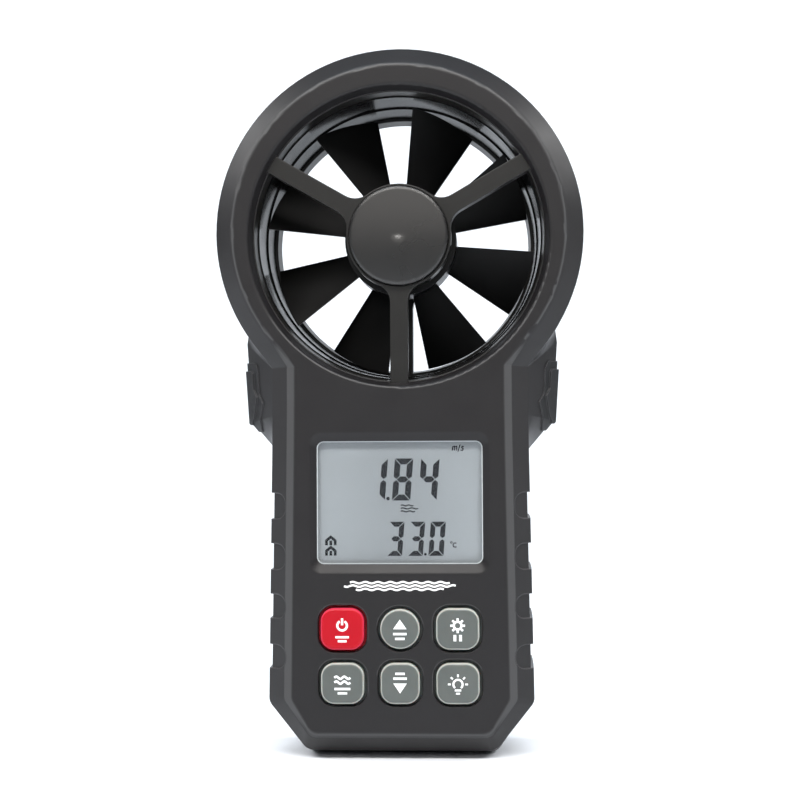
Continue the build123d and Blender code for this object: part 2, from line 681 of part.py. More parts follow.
def battery_leads():
    """Two leads from the connector, out of the bay and forward to the board."""
    start = BATTERY_LOW + BATTERY_H + 4.3
    leads = []
    for x in (-1.5, 1.5):
        points = [(x, 21.2, start), (x, 21.2, BAY_HIGH + 3.2), (x, BOARD_BACK, BAY_HIGH + 3.2)]
        leads.append(rod(points, LEAD_R, 1.6))
    return group(leads)


# ------------------------------ fasteners ----------------------------------
def cross_screw(x, z, tip, seat, shank_r, head_r):
    """Cross-recess pan screw driven from the back."""
    height = 1.5
    head = fillet(disc(head_r, seat, seat + height, x, z).faces().sort_by(Axis.Y)[-1].edges(), 0.5)
    slots = plate(head_r * 1.3, 0.5, seat + 0.6, seat + 3, x, z) + plate(
        0.5, head_r * 1.3, seat + 0.6, seat + 3, x, z
    )
    return (head + disc(shank_r, tip, seat, x, z)) - slots


def case_screws():
    return group([cross_screw(x, z, 9.5, SCREW_SEAT, SCREW_SHANK_R, SCREW_HEAD_R) for x, z in SCREW_SITES])


def board_screws():
    return group([cross_screw(x, z, 4.6, BOARD_BACK, BOARD_SCREW_R, 1.8) for x, z in BOARD_SCREW_SITES])


def tripod_hexagon(front, back):
    return slab(Pos(0, TRIPOD_Z) * RegularPolygon(TRIPOD_HEX_R, 6), front, back)


def tripod_insert():
    """Hexagonal brass nut moulded into the back, threaded 1/4 inch 20 UNC."""
    front = TRIPOD_BACK - TRIPOD_LONG
    return tripod_hexagon(front, TRIPOD_BACK) - disc(TRIPOD_R, front + 1.0, TRIPOD_BACK, 0, TRIPOD_Z)


# ------------------------------ hand over ----------------------------------
def build_all():
    form = soft_form()
    shell = hollow_form(form) - seam_groove(form) - grip_notches(form)
    right_pad, left_pad = side_pads()
    nodes = {
        "front_case": front_case(form, shell),
        "rear_case": rear_case(form, shell),
        "side_pad_right": right_pad,
        "side_pad_left": left_pad,
        "front_guard": front_guard(),
        "hub_cap": hub_cap(),
        "duct_liner_front": duct_liner_front(),
        "duct_liner_rear": duct_liner_rear(),
        "rear_guard": rear_guard(),
        "front_bearing": bearing(*FRONT_BEARING),
        "rear_bearing": bearing(*REAR_BEARING),
        "impeller": impeller(),
        "impeller_magnets": magnets(),
        "impeller_axle": impeller_axle(),
        "hall_sensor": hall_sensor(),
        "sensor_lead": sensor_lead(),
        "display_window": display_window(),
        "lcd_panel": lcd_panel(),
        "lcd_frame": lcd_frame(),
        "backlight_panel": backlight_panel(),
        "elastomer_connector": elastomer_connector(),
        "main_board": main_board(),
        "board_components": board_components(),
        "buzzer": buzzer(),
        "temperature_sensor": temperature_sensor(),
        "keypad_mat": keypad_mat(),
        "battery_door": battery_door(),
        "door_pad": door_pad(),
        "hinge_pin": hinge_pin(),
        "battery": battery(),
        "battery_terminals": battery_terminals(),
        "battery_connector": battery_connector(),
        "battery_leads": battery_leads(),
        "case_screws": case_screws(),
        "board_screws": board_screws(),
        "tripod_insert": tripod_insert(),
    }
    for key in KEYS:
        nodes["key_" + key[0]] = keycap(key)
        nodes["pill_" + key[0]] = key_pill(key)
    return nodes


os.makedirs("parts", exist_ok=True)
for node, shape in build_all().items():
    export_step(shape, "parts/" + node + ".step")
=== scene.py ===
import json
import math

import bmesh
import bpy
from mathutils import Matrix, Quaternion, Vector


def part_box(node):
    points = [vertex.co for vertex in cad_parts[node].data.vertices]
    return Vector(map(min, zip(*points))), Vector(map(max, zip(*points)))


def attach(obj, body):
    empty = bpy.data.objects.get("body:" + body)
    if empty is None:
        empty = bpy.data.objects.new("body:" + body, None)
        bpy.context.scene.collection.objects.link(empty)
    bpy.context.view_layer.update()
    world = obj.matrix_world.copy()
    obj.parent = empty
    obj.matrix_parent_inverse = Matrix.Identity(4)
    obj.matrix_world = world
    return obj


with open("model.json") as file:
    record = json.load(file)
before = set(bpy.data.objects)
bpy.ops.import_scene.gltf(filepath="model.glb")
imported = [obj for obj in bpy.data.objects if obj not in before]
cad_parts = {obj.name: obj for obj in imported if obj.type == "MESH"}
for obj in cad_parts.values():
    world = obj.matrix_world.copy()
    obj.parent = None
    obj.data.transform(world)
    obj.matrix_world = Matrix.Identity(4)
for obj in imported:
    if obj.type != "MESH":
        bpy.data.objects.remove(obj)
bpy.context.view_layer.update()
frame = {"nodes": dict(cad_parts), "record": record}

MM = 0.001

# Camera: a little to the right of the object and a little below its middle, with a slight roll
CAMERA_PLACE = Vector((0.0243, -0.4680, 0.0803))
CAMERA_TARGET = Vector((0.0003, -0.0180, 0.0904))
CAMERA_LENS = 80.8
CAMERA_ROLL = math.radians(-0.3)

# Lights: place, point aimed at, width and height in metres, power in watts, colour
MIDDLE = (0, 0, 0.09)
WHITE = (1, 1, 1)
WARM = (1.0, 0.96, 0.91)
SUN_WARM = (1.0, 0.97, 0.94)
SKY_COOL = (0.74, 0.87, 1.0)
LIGHTS = {
    "front_softbox": ((0.05, -1.25, 0.53), MIDDLE, (1.5, 0.5), 3.6, WARM),
    "side_left": ((-1.15, -0.12, 0.14), MIDDLE, (0.3, 0.5), 1.2, WHITE),
    "side_right": ((1.15, -0.12, 0.14), MIDDLE, (0.3, 0.5), 1.2, WHITE),
    "overhead_bar": ((0.0, -0.46, 0.62), (0, 0, 0.08), (0.9, 0.16), 8.0, SUN_WARM),
    "overhead_cool": ((0.0, -0.10, 0.95), MIDDLE, (0.9, 0.3), 2.7, SKY_COOL),
    "wall_wash_left": ((-1.3, 0.15, 1.1), (-0.1, 1.3, 0.25), (0.7, 0.7), 18, WHITE),
    "wall_wash_right": ((1.3, 0.15, 1.1), (0.1, 1.3, 0.25), (0.7, 0.7), 18, WHITE),
}
WORLD_COLOR = (0.82, 0.91, 1.0, 1)
WORLD_STRENGTH = 0.22

# Backdrop, in metres: a floor in two strips from the front to a bend of this radius, then a wall
SWEEP_HALF_W = 1.6
SWEEP_FRONT_Y = -1.6
SWEEP_STRIP_Y = -0.4
SWEEP_BEND = 0.5
SWEEP_BEND_STEPS = 24
SWEEP_WALL_Y = 1.3
SWEEP_TOP = 1.3

# Marks printed on the case, the keys and the display stand this far off their surface
PRINT_THICK = 0.03 * MM

# Display digits, in millimetres from the window's centre: each with its left edge, then what a row
# shares (foot, width, height and stroke), then its decimal point (place across, place up and radius)
SLANT = math.tan(math.radians(4.5))
MAIN_DIGITS = (("1", -8.45), ("8", -2.05), ("4", 4.6))
MAIN_FOOT, MAIN_W, MAIN_H, MAIN_STROKE = 0.45, 4.65, 10.6, 1.5
MAIN_POINT = (-3.0, 0.95, 0.45)
SMALL_DIGITS = (("3", -3.35), ("3", 1.9), ("0", 7.1))
SMALL_FOOT, SMALL_W, SMALL_H, SMALL_STROKE = -13.5, 3.8, 8.6, 1.25
SMALL_POINT = (6.35, -13.1, 0.35)
SEGMENT_GAP = 0.13
SEGMENTS_OF = {"0": "abcdef", "1": "bc", "3": "abcdg", "4": "bcfg", "8": "abcdefg"}

# Opening of the case in front of the pane, and the width of the painted highlight along the pane's edge,
# in millimetres
OPENING_W, OPENING_H, OPENING_R = 41.8, 30.9, 1.7
PANE_HIGHLIGHT_W = 0.24

# Printed streamlines under the display, in millimetres: rows as height above STREAM_Z and half length,
# then the height of their waves and how many radians a wave turns in a millimetre
STREAM_Z = 43.8
STREAM_ROWS = ((-0.85, 11.0), (0.0, 14.0), (0.85, 12.5))
STREAM_STEPS = 96
STREAM_WAVE = 0.2
STREAM_TURN = 2
STREAM_STROKE = 0.48

# A stroke's mitre grows no further once its corner's half turn has this cosine
MITRE_LIMIT = 0.4

# Noise runs between these values nearly everywhere
NOISE_LOW, NOISE_HIGH = 0.3, 0.7

# Where a colour along an edge starts and where it is full. On worn edges, whose colour is wear and on
# the case also a painted highlight, this goes by the cosine between the rounded normal and the true one.
# On rims and ridges, whose colour is a painted highlight, it goes by the Y of the normal, which is -1 on
# a face that looks straight to the front, and on ridges also by how far out they are, in metres.
WEAR_AND_HIGHLIGHT_TURN = (0.98, 0.80)
RIM_TURN = (-0.93, -0.60)
RIDGE_NEAR = (-0.995, -0.94)
RIDGE_FAR = (-0.77, -0.88)
RIDGE_OUTWARD = (0.0, 2 * MM)
RIDGE_SOFT_MM = 0.6


# ------------------------------ materials -----------------------------------
class Finish:
    """One material, grown node by node around a Principled shader."""

    def __init__(self, name, color, roughness, metallic=0.0):
        self.material = bpy.data.materials.new(name)
        self.material.use_nodes = True
        self.tree = self.material.node_tree
        self.shader = self.tree.nodes["Principled BSDF"]
        self.set(Base_Color=(*color, 1.0), Roughness=roughness, Metallic=metallic)
        self.place = self.tree.nodes.new("ShaderNodeTexCoord").outputs["Object"]
        self.normal = None

    def set(self, **values):
        for key, value in values.items():
            self.shader.inputs[key.replace("_", " ")].default_value = value
        return self

    def add(self, kind, **values):
        node = self.tree.nodes.new(kind)
        for key, value in values.items():
            node.inputs[key.replace("_", " ")].default_value = value
        return node

    def link(self, source, target):
        self.tree.links.new(source, target)

    def split(self, vector):
        """The X, Y and Z of a vector, as separate outputs."""
        node = self.add("ShaderNodeSeparateXYZ")
        self.link(vector, node.inputs["Vector"])
        return node.outputs

    def noise(self, size_mm, detail=3.0, stretch=(1, 1, 1)):
        """Noise with features of a size in millimetres, stretched along the axes."""
        mapping = self.add("ShaderNodeMapping", Scale=stretch)
        self.link(self.place, mapping.inputs["Vector"])
        noise = self.add("ShaderNodeTexNoise", Scale=1.0 / (size_mm * MM), Detail=detail, Roughness=0.55)
        self.link(mapping.outputs["Vector"], noise.inputs["Vector"])
        return noise.outputs["Fac"]

    def spread(self, source, low, high, start=NOISE_LOW, stop=NOISE_HIGH):
        """Stretch a signal that runs from start to stop, to run from low to high."""
        span = self.add("ShaderNodeMapRange", From_Min=start, From_Max=stop, To_Min=low, To_Max=high)
        self.link(source, span.inputs["Value"])
        return span.outputs["Result"]

    def both(self, first, second):
        """The product of two 0 to 1 signals."""
        product = self.add("ShaderNodeMath")
        product.operation = "MULTIPLY"
        self.link(first, product.inputs[0])
        self.link(second, product.inputs[1])
        return product.outputs["Value"]

    def vector_math(self, operation, first):
        node = self.add("ShaderNodeVectorMath")
        node.operation = operation
        self.link(first, node.inputs[0])
        return node

    def dot(self, first, second):
        node = self.vector_math("DOT_PRODUCT", first)
        self.link(second, node.inputs[1])
        return node.outputs["Value"]

    def color_mix(self):
        """A colour mix node that takes over the base colour, with what it was before on side A."""
        mix = self.add("ShaderNodeMix")
        mix.data_type = "RGBA"
        current = self.shader.inputs["Base Color"]
        if current.is_linked:
            self.link(current.links[0].from_socket, mix.inputs["A"])
        else:
            mix.inputs["A"].default_value = current.default_value
        self.link(mix.outputs["Result"], current)
        return mix

    def shade(self, source, low, high, start=NOISE_LOW, stop=NOISE_HIGH):
        """Vary the colour between two factors of itself."""
        factor = self.spread(source, low, high, start, stop)
        gray = self.add("ShaderNodeCombineColor")
        for channel in ("Red", "Green", "Blue"):
            self.link(factor, gray.inputs[channel])
        mix = self.color_mix()
        mix.blend_type = "MULTIPLY"
        mix.inputs["Factor"].default_value = 1.0
        self.link(gray.outputs["Color"], mix.inputs["B"])

    def tint(self, source, other, start, stop, strength=1.0):
        """Blend towards another colour as the source runs from start to stop."""
        factor = self.spread(source, 0.0, strength, start, stop)
        mix = self.color_mix()
        mix.inputs["B"].default_value = (*other, 1.0)
        self.link(factor, mix.inputs["Factor"])

    def gloss(self, source, low, high):
        """Vary the roughness between two values."""
        self.link(self.spread(source, low, high), self.shader.inputs["Roughness"])

    def rounded_normal(self, radius_mm, samples):
        bevel = self.add("ShaderNodeBevel", Radius=radius_mm * MM)
        bevel.samples = samples
        return bevel.outputs["Normal"]

    def soft_edges(self, radius_mm):
        """Round the look of sharp moulded edges, for the bump that comes after it to build on."""
        self.normal = self.rounded_normal(radius_mm, 6)

    def wear_and_edge_highlight(self, radius_mm, other, strength):
        """Blend towards another colour along sharp edges, as wear and, with a pale colour, as a painted
        highlight.
        """
        flat = self.add("ShaderNodeNewGeometry").outputs["Normal"]
        turn = self.dot(self.rounded_normal(radius_mm, 4), flat)
        self.tint(turn, other, *WEAR_AND_HIGHLIGHT_TURN, strength)

    def paint_rim_highlight(self, other):
        """Paint a highlight: blend towards another colour where a face that looks to the front curves
        away at its edge.
        """
        normal = self.add("ShaderNodeNewGeometry").outputs["Normal"]
        self.tint(self.split(normal)["Y"], other, *RIM_TURN)

    def paint_ridge_highlight(self, other, middle):
        """Paint a highlight on the faces that lean a little from the front and outwards from a middle.
        """
        normal = self.rounded_normal(RIDGE_SOFT_MM, 8)
        lean = self.split(normal)["Y"]
        near = self.spread(lean, 0.0, 1.0, *RIDGE_NEAR)
        far = self.spread(lean, 0.0, 1.0, *RIDGE_FAR)
        reach = self.vector_math("SUBTRACT", self.place)
        reach.inputs[1].default_value = middle
        outward = self.dot(reach.outputs["Vector"], normal)
        away = self.spread(outward, 0.0, 1.0, *RIDGE_OUTWARD)
        self.tint(self.both(self.both(near, far), away), other, 0.0, 1.0)

    def bump(self, source, height_mm):
        """Raise the surface by up to a height, on top of its softened edges."""
        node = self.add("ShaderNodeBump", Distance=height_mm * MM, Strength=1.0)
        self.link(source, node.inputs["Height"])
        if self.normal is not None:
            self.link(self.normal, node.inputs["Normal"])
        self.link(node.outputs["Normal"], self.shader.inputs["Normal"])


def moulded(name, color, roughness, grain_mm=0.35, grain_height_mm=0.012, edge_mm=0.5, edge_wear_highlight_gain=1.5):
    """Moulded plastic: fine spark-eroded grain, faint flow marks, softened and lighter edges; the
    lighter edges are wear, and with a high gain also a painted highlight.
    """
    finish = Finish(name, color, roughness)
    finish.shade(finish.noise(28, 2), 0.93, 1.07)
    finish.shade(finish.noise(grain_mm, 2), 0.94, 1.06)
    finish.gloss(finish.noise(9, 4), roughness - 0.04, roughness + 0.05)
    finish.wear_and_edge_highlight(edge_mm, tuple(min(1.0, edge_wear_highlight_gain * c + 0.01) for c in color), 0.7)
    finish.soft_edges(edge_mm)
    finish.bump(finish.noise(grain_mm, 3), grain_height_mm)
    return finish


def turned_metal(name, color, roughness):
    """Machined metal with fine tool marks."""
    # the marks run round Y, so the noise changes eight times as fast along it
    round_y = (1, 8, 1)
    finish = Finish(name, color, roughness, metallic=1.0)
    finish.shade(finish.noise(3, 3), 0.85, 1.05)
    finish.gloss(finish.noise(0.25, 2, round_y), roughness - 0.06, roughness + 0.12)
    finish.soft_edges(0.12)
    finish.bump(finish.noise(0.12, 2, round_y), 0.004)
    return finish


def elastomer(name, color, roughness=0.62):
    """Rubber: dull, with a fine tooth and slightly uneven colour."""
    finish = Finish(name, color, roughness)
    finish.shade(finish.noise(6, 3), 0.88, 1.12)
    finish.gloss(finish.noise(1.5, 3), roughness - 0.06, roughness + 0.08)
    finish.soft_edges(0.25)
    finish.bump(finish.noise(0.22, 3), 0.015)
    return finish


def case_material(name):
    """Satin case plastic, with painted highlights: its narrow outward bevels and its sharp edges a
    little paler.
    """
    # the high edge gain makes the paler edge colour mostly a painted highlight, only a little of it wear
    finish = moulded(name, (0.0092, 0.0084, 0.0090), 0.42, grain_height_mm=0.008, edge_wear_highlight_gain=7.0)
    low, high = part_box("display_window")
    # painted highlight on the bevels that lean outwards from the display's middle
    finish.paint_ridge_highlight((0.046, 0.046, 0.047), ((low.x + high.x) / 2, low.y, (low.z + high.z) / 2))
    return finish.set(Specular_IOR_Level=0.28)


def cap_material():
    """Domed hub cap: the same plastic, polished to a satin sheen by the tool."""
    finish = Finish("hub_cap_satin", (0.0045, 0.0040, 0.0037), 0.27)
    finish.shade(finish.noise(12, 2), 0.93, 1.07)
    finish.gloss(finish.noise(14, 2), 0.26, 0.29)
    finish.soft_edges(1.2)
    finish.bump(finish.noise(4, 2), 0.002)
    return finish.set(Specular_IOR_Level=0.7)


def pad_material():
    """Over-moulded grip pads: dull dark rubber, paler where its ribs and chevrons stand up."""
    finish = elastomer("pad_soft", (0.0065, 0.0065, 0.0072), 0.5)
    finish.wear_and_edge_highlight(0.35, (0.07, 0.07, 0.075), 0.9)
    return finish.set(Specular_IOR_Level=0.25)


def key_material(name, color, rim_highlight):
    """Cast silicone-feel key: glossy skin, with a painted highlight as a lighter rim at its edge."""
    finish = Finish(name, color, 0.36)
    finish.shade(finish.noise(5, 3), 0.95, 1.05)
    finish.gloss(finish.noise(2.5, 3), 0.30, 0.42)
    # painted highlight: the rim colour where the key's face curves away from the front
    finish.paint_rim_highlight(rim_highlight)
    finish.soft_edges(0.2)
    finish.bump(finish.noise(0.4, 2), 0.004)
    return finish.set(Subsurface_Weight=0.12, Subsurface_Scale=1.2 * MM, Specular_IOR_Level=0.2)


def lcd_material():
    """Reflective display glass: pale blue-grey, with a painted reflection that makes it a little
    brighter towards its left and right edges.
    """
    finish = Finish("lcd_reflector", (0.190, 0.210, 0.222), 0.42)
    # painted reflection: lighter with the distance from the middle across the glass
    across = finish.add("ShaderNodeMath")
    across.operation = "ABSOLUTE"
    finish.link(finish.split(finish.place)["X"], across.inputs[0])
    finish.shade(across.outputs["Value"], 0.90, 1.08, 4 * MM, 19 * MM)
    finish.shade(finish.noise(16, 2), 0.96, 1.04)
    finish.shade(finish.noise(0.18, 1), 0.985, 1.015)
    finish.gloss(finish.noise(3, 2), 0.38, 0.46)
    finish.bump(finish.noise(0.3, 1), 0.002)
    return finish


def window_material():
    """Clear hard-coated pane with a trace of haze."""
    finish = Finish("window_pane", (0.60, 0.64, 0.68), 0.06)
    finish.gloss(finish.noise(8, 3), 0.04, 0.10)
    finish.bump(finish.noise(14, 1), 0.004)
    finish.material.surface_render_method = "BLENDED"
    return finish.set(Alpha=0.02, IOR=1.49)


def board_material():
    """Green solder mask over copper, with a woven glass ground."""
    weave = (1, 1, 6)
    finish = Finish("solder_mask", (0.020, 0.120, 0.055), 0.35)
    finish.tint(finish.noise(1.6, 1, weave), (0.030, 0.190, 0.080), 0.48, 0.52)
    finish.shade(finish.noise(0.4, 1), 0.92, 1.08)
    finish.bump(finish.noise(1.6, 1, weave), 0.02)
    return finish


def battery_material():
    """Printed sleeve: dark body with a copper-coloured upper third."""
    band_start = 0.68
    finish = Finish("battery_sleeve", (0.020, 0.020, 0.022), 0.28, metallic=0.6)
    low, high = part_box("battery")
    band = low.z + band_start * (high.z - low.z)
    finish.tint(finish.split(finish.place)["Z"], (0.50, 0.20, 0.07), band, band + 0.05 * MM)
    finish.shade(finish.noise(4, 3), 0.92, 1.08)
    finish.gloss(finish.noise(2, 2), 0.22, 0.36)
    finish.bump(finish.noise(3, 2), 0.01)
    return finish


def print_material(name, color, roughness=0.5):
    """Screen-printed ink with a slightly uneven edge-to-edge density."""
    finish = Finish(name, color, roughness)
    finish.shade(finish.noise(0.7, 3), 0.94, 1.03)
    finish.gloss(finish.noise(0.5, 2), roughness - 0.05, roughness + 0.08)
    finish.bump(finish.noise(0.15, 2), 0.003)
    return finish


def make_materials():
    """The finish of every material slot in the record."""
    duct = moulded("duct_black", (0.004, 0.004, 0.004), 0.20, 0.5, 0.002, 0.2)
    blades = moulded("impeller_black", (0.003, 0.003, 0.003), 0.40, 0.4, 0.004, 0.15)
    guard = moulded("guard_satin", (0.0090, 0.0086, 0.0079), 0.38, 0.35, 0.006)
    made = {
        "case_front": case_material("case_front_satin"),
        "case_rear": case_material("case_rear_satin"),
        "door_plastic": case_material("door_satin"),
        "pad_elastomer": pad_material(),
        "guard_plastic": guard.set(Specular_IOR_Level=0.30),
        "hub_cap_plastic": cap_material(),
        "duct_plastic": duct.set(Specular_IOR_Level=0.04),
        "bearing_brass": turned_metal("bearing_brass_turned", (0.70, 0.50, 0.22), 0.25),
        "impeller_plastic": blades.set(Specular_IOR_Level=0.2),
        "magnet_nickel": turned_metal("magnet_plate", (0.66, 0.65, 0.62), 0.22),
        "axle_steel": turned_metal("axle_ground", (0.56, 0.57, 0.58), 0.20),
        "chip_plastic": moulded("chip_epoxy", (0.018, 0.018, 0.019), 0.5, 0.2),
        "lead_black": elastomer("lead_insulation_black", (0.015, 0.015, 0.015), 0.4),
        "window_clear": window_material(),
        "lcd_glass": lcd_material(),
        "frame_plastic": moulded("frame_white", (0.72, 0.72, 0.70), 0.45),
        "light_guide": moulded("light_guide_milky", (0.82, 0.86, 0.88), 0.2),
        "silicone_gray": elastomer("silicone_mid", (0.30, 0.30, 0.31)),
        "board_green": board_material(),
        "buzzer_plastic": moulded("buzzer_shell", (0.015, 0.015, 0.015), 0.3, 0.3),
        "bead_epoxy": moulded("bead_dipped", (0.03, 0.03, 0.10), 0.15, 0.8),
        "door_rubber": elastomer("door_sheet", (0.035, 0.035, 0.035)),
        "pin_steel": turned_metal("pin_drawn", (0.52, 0.53, 0.54), 0.28),
        "battery_wrap": battery_material(),
        "terminal_nickel": turned_metal("terminal_plate", (0.68, 0.66, 0.62), 0.25),
        "lead_red": elastomer("lead_insulation_red", (0.42, 0.015, 0.015), 0.4),
        "screw_steel": turned_metal("screw_oxide", (0.10, 0.10, 0.105), 0.35),
        "insert_brass": turned_metal("insert_brass_turned", (0.72, 0.52, 0.23), 0.24),
        "key_red": key_material("key_red_cast", (0.365, 0.0005, 0.008), (0.60, 0.03, 0.07)),
        "key_gray": key_material("key_gray_cast", (0.090, 0.099, 0.094), (0.43, 0.44, 0.40)),
        "contact_carbon": elastomer("contact_pill", (0.012, 0.012, 0.012)),
    }
    return {slot: finish.material for slot, finish in made.items()}


def dress_nodes(materials):
    """Every carried-over solid gets the finish of its slot."""
    for part in frame["record"]["subparts"]:
        mesh = frame["nodes"][part["node"]].data
        mesh.materials.clear()
        mesh.materials.append(materials[part["material_slot"]])


# ------------------------------ flat marks ----------------------------------
def ribbon(points, width):
    """The outline of one stroke through points, mitred at its corners, with square ends."""
    sides = ([], [])
    last = len(points) - 1
    for k, (x, z) in enumerate(points):
        before = Vector(points[k]) - Vector(points[k - 1]) if k > 0 else None
        after = Vector(points[k + 1]) - Vector(points[k]) if k < last else None
        runs = [run.normalized() for run in (before, after) if run is not None]
        along = sum(runs, Vector((0, 0))).normalized()
        reach = width / 2 / max(along.dot(runs[0]), MITRE_LIMIT)
        sides[0].append((x - along.y * reach, z + along.x * reach))
        sides[1].append((x + along.y * reach, z - along.x * reach))
    return [sides[0] + sides[1][::-1]]


def bar(half, z, width):
    """A level stroke, centred on the middle."""
    return ribbon([(-half, z), (half, z)], width)


def arc_points(x, z, radius, start_deg, stop_deg, steps=24):
    span = math.radians(stop_deg - start_deg)
    angles = [math.radians(start_deg) + span * k / steps for k in range(steps + 1)]
    return [(x + radius * math.cos(t), z + radius * math.sin(t)) for t in angles]


def ring(x, z, radius, width):
    """A full circle of ink, as two half rings."""
    upper = ribbon(arc_points(x, z, radius, 0, 180), width)
    lower = ribbon(arc_points(x, z, radius, 180, 360), width)
    return upper + lower


def round_dot(x, z, radius):
    return arc_points(x, z, radius, 0, 360, 20)[:-1]


def wave(start, step, count, z, height, turns_per_step):
    """Points along a level sine wave."""
    rises = [z + height * math.sin(2 * math.pi * turns_per_step * k) for k in range(count + 1)]
    return [(start + step * k, rise) for k, rise in enumerate(rises)]


def moved(outlines, x, z):
    return [[(x + px, z + pz) for px, pz in outline] for outline in outlines]


def printed(name, outlines, surface_y, material, body):
    """A thin printed or etched layer: outlines in X and Z (mm), lying just off a surface facing -Y."""
    mesh = bpy.data.meshes.new(name)
    shape = bmesh.new()
    for index, outline in enumerate(outlines):
        # neighbours differ a little in thickness, so that crossing strokes have no shared faces
        thick = PRINT_THICK * (1 + 0.2 * (index % 3))
        near = [shape.verts.new((x * MM, surface_y - thick, z * MM)) for x, z in outline]
        far = [shape.verts.new((x * MM, surface_y, z * MM)) for x, z in outline]
        shape.faces.new(near)
        shape.faces.new(list(reversed(far)))
        for k in range(len(outline)):
            after = (k + 1) % len(outline)
            shape.faces.new([near[k], far[k], far[after], near[after]])
    bmesh.ops.recalc_face_normals(shape, faces=shape.faces)
    shape.to_mesh(mesh)
    shape.free()
    piece = bpy.data.objects.new(name, mesh)
    bpy.context.scene.collection.objects.link(piece)
    mesh.materials.append(material)
    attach(piece, body)


# ------------------------------ display -------------------------------------
def seven_segments(width, height, stroke):
    """The seven bars of one digit cell, keyed a to g, with its foot at the origin."""
    w, h, t, g = width, height, stroke, SEGMENT_GAP
    mid = h / 2
    return {
        "a": [(g, h), (w - g, h), (w - t - g, h - t), (t + g, h - t)],
        "b": [
            (w, h - g),
            (w, mid + t / 2),
            (w - t / 2, mid + g),
            (w - t, mid + t / 2 + g),
            (w - t, h - t - g),
        ],
        "c": [
            (w, g),
            (w - t, t + g),
            (w - t, mid - t / 2 - g),
            (w - t / 2, mid - g),
            (w, mid - t / 2),
        ],
        "d": [(t + g, t), (w - t - g, t), (w - g, 0), (g, 0)],
        "e": [(0, g), (0, mid - t / 2), (t / 2, mid - g), (t, mid - t / 2 - g), (t, t + g)],
        "f": [(0, h - g), (t, h - t - g), (t, mid + t / 2 + g), (t / 2, mid + g), (0, mid + t / 2)],
        "g": [
            (t / 2 + g, mid),
            (t + g, mid + t / 2),
            (w - t - g, mid + t / 2),
            (w - t / 2 - g, mid),
            (w - t - g, mid - t / 2),
            (t + g, mid - t / 2),
        ],
    }


def digit_row(digits, foot, width, height, stroke):
    """The lit bars of a row of digits, slanted about its foot."""
    bars = seven_segments(width, height, stroke)
    lit = [(left, bars[key]) for digit, left in digits for key in SEGMENTS_OF[digit]]
    return [[(left + x + z * SLANT, foot + z) for x, z in outline] for left, outline in lit]


def unit_marks():
    """Unit signs beside the readings, drawn as strokes."""
    speed = ribbon([(0, 0), (0.12, 1.05)], 0.34)
    speed += ribbon([(0.1, 0.9), (0.55, 1.05), (0.62, 0.8), (0.52, 0)], 0.30)
    speed += ribbon([(0.62, 0.9), (1.05, 1.05), (1.14, 0.8), (1.04, 0)], 0.30)
    speed += ribbon([(1.4, -0.3), (1.95, 1.5)], 0.26)
    speed += ribbon([(2.9, 0.95), (2.5, 1.05), (2.3, 0.75), (2.75, 0.4), (2.6, 0.05), (2.05, 0.1)], 0.28)
    degree = ring(0, 1.15, 0.22, 0.16)
    degree += ribbon(arc_points(0.95, 0.5, 0.52, 50, 310), 0.28)
    gust = []
    for row, length in ((0.0, 3.6), (0.75, 4.4), (1.5, 3.2)):
        gust += ribbon(wave(0, length / 12, 12, row, 0.14, 1 / 6), 0.32)
    return moved(speed, 13.3, 13.0) + moved(degree, 12.9, -11.3) + moved(gust, 0.2, -2.3)


def memory_mark():
    """Two stacked upward arrows, as a memory sign."""
    stroke = 0.7
    outlines = []
    for foot in (0.0, 2.6):
        house = [(0.35, 0), (0.35, 1.2), (1.45, 2.1), (2.55, 1.2), (2.55, 0)]
        outlines += ribbon([(x, foot + z) for x, z in house], stroke)
        outlines += ribbon([(1.45, foot), (1.45, foot + 1.2)], stroke)
    return moved(outlines, -19.0, -13.4)


def painted_pane_highlight():
    """A painted highlight standing for light on the pane's polished edge: a pale line just inside the
    opening, in two halves.
    """
    x, z = OPENING_W / 2 - PANE_HIGHLIGHT_W / 2, OPENING_H / 2 - PANE_HIGHLIGHT_W / 2
    side, top = x - OPENING_R, z - OPENING_R
    corners = arc_points(side, top, OPENING_R, 0, 90, 8) + arc_points(-side, top, OPENING_R, 90, 180, 8)
    upper = [(x, 0), *corners, (-x, 0)]
    lower = [(-px, -pz) for px, pz in upper]
    return ribbon(upper, PANE_HIGHLIGHT_W) + ribbon(lower, PANE_HIGHLIGHT_W)


def build_display():
    """The readings and signs on the display glass, and a painted highlight along the edge of the pane
    over it.
    """
    glass_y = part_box("lcd_panel")[0].y
    window_low, window_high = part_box("display_window")
    middle = (window_low.z + window_high.z) / 2 / MM
    ink = print_material("segment_ink", (0.0012, 0.0015, 0.003), 0.4)
    ink.set(Specular_IOR_Level=0.05)
    main = digit_row(MAIN_DIGITS, MAIN_FOOT, MAIN_W, MAIN_H, MAIN_STROKE)
    small = digit_row(SMALL_DIGITS, SMALL_FOOT, SMALL_W, SMALL_H, SMALL_STROKE)
    layers = {
        "lcd_main_reading": main + [round_dot(*MAIN_POINT)],
        "lcd_small_reading": small + [round_dot(*SMALL_POINT)],
        "lcd_unit_marks": unit_marks(),
        "lcd_memory_mark": memory_mark(),
    }
    for name, outlines in layers.items():
        printed(name, moved(outlines, 0, middle), glass_y, ink.material, "housing")
    # painted highlight: a pale printed line stands for light caught on the pane's edge
    pane_highlight = print_material("pane_edge_painted_highlight", (0.50, 0.54, 0.55), 0.3).material
    line = moved(painted_pane_highlight(), 0, middle)
    printed("painted_pane_highlight", line, window_low.y, pane_highlight, "housing")


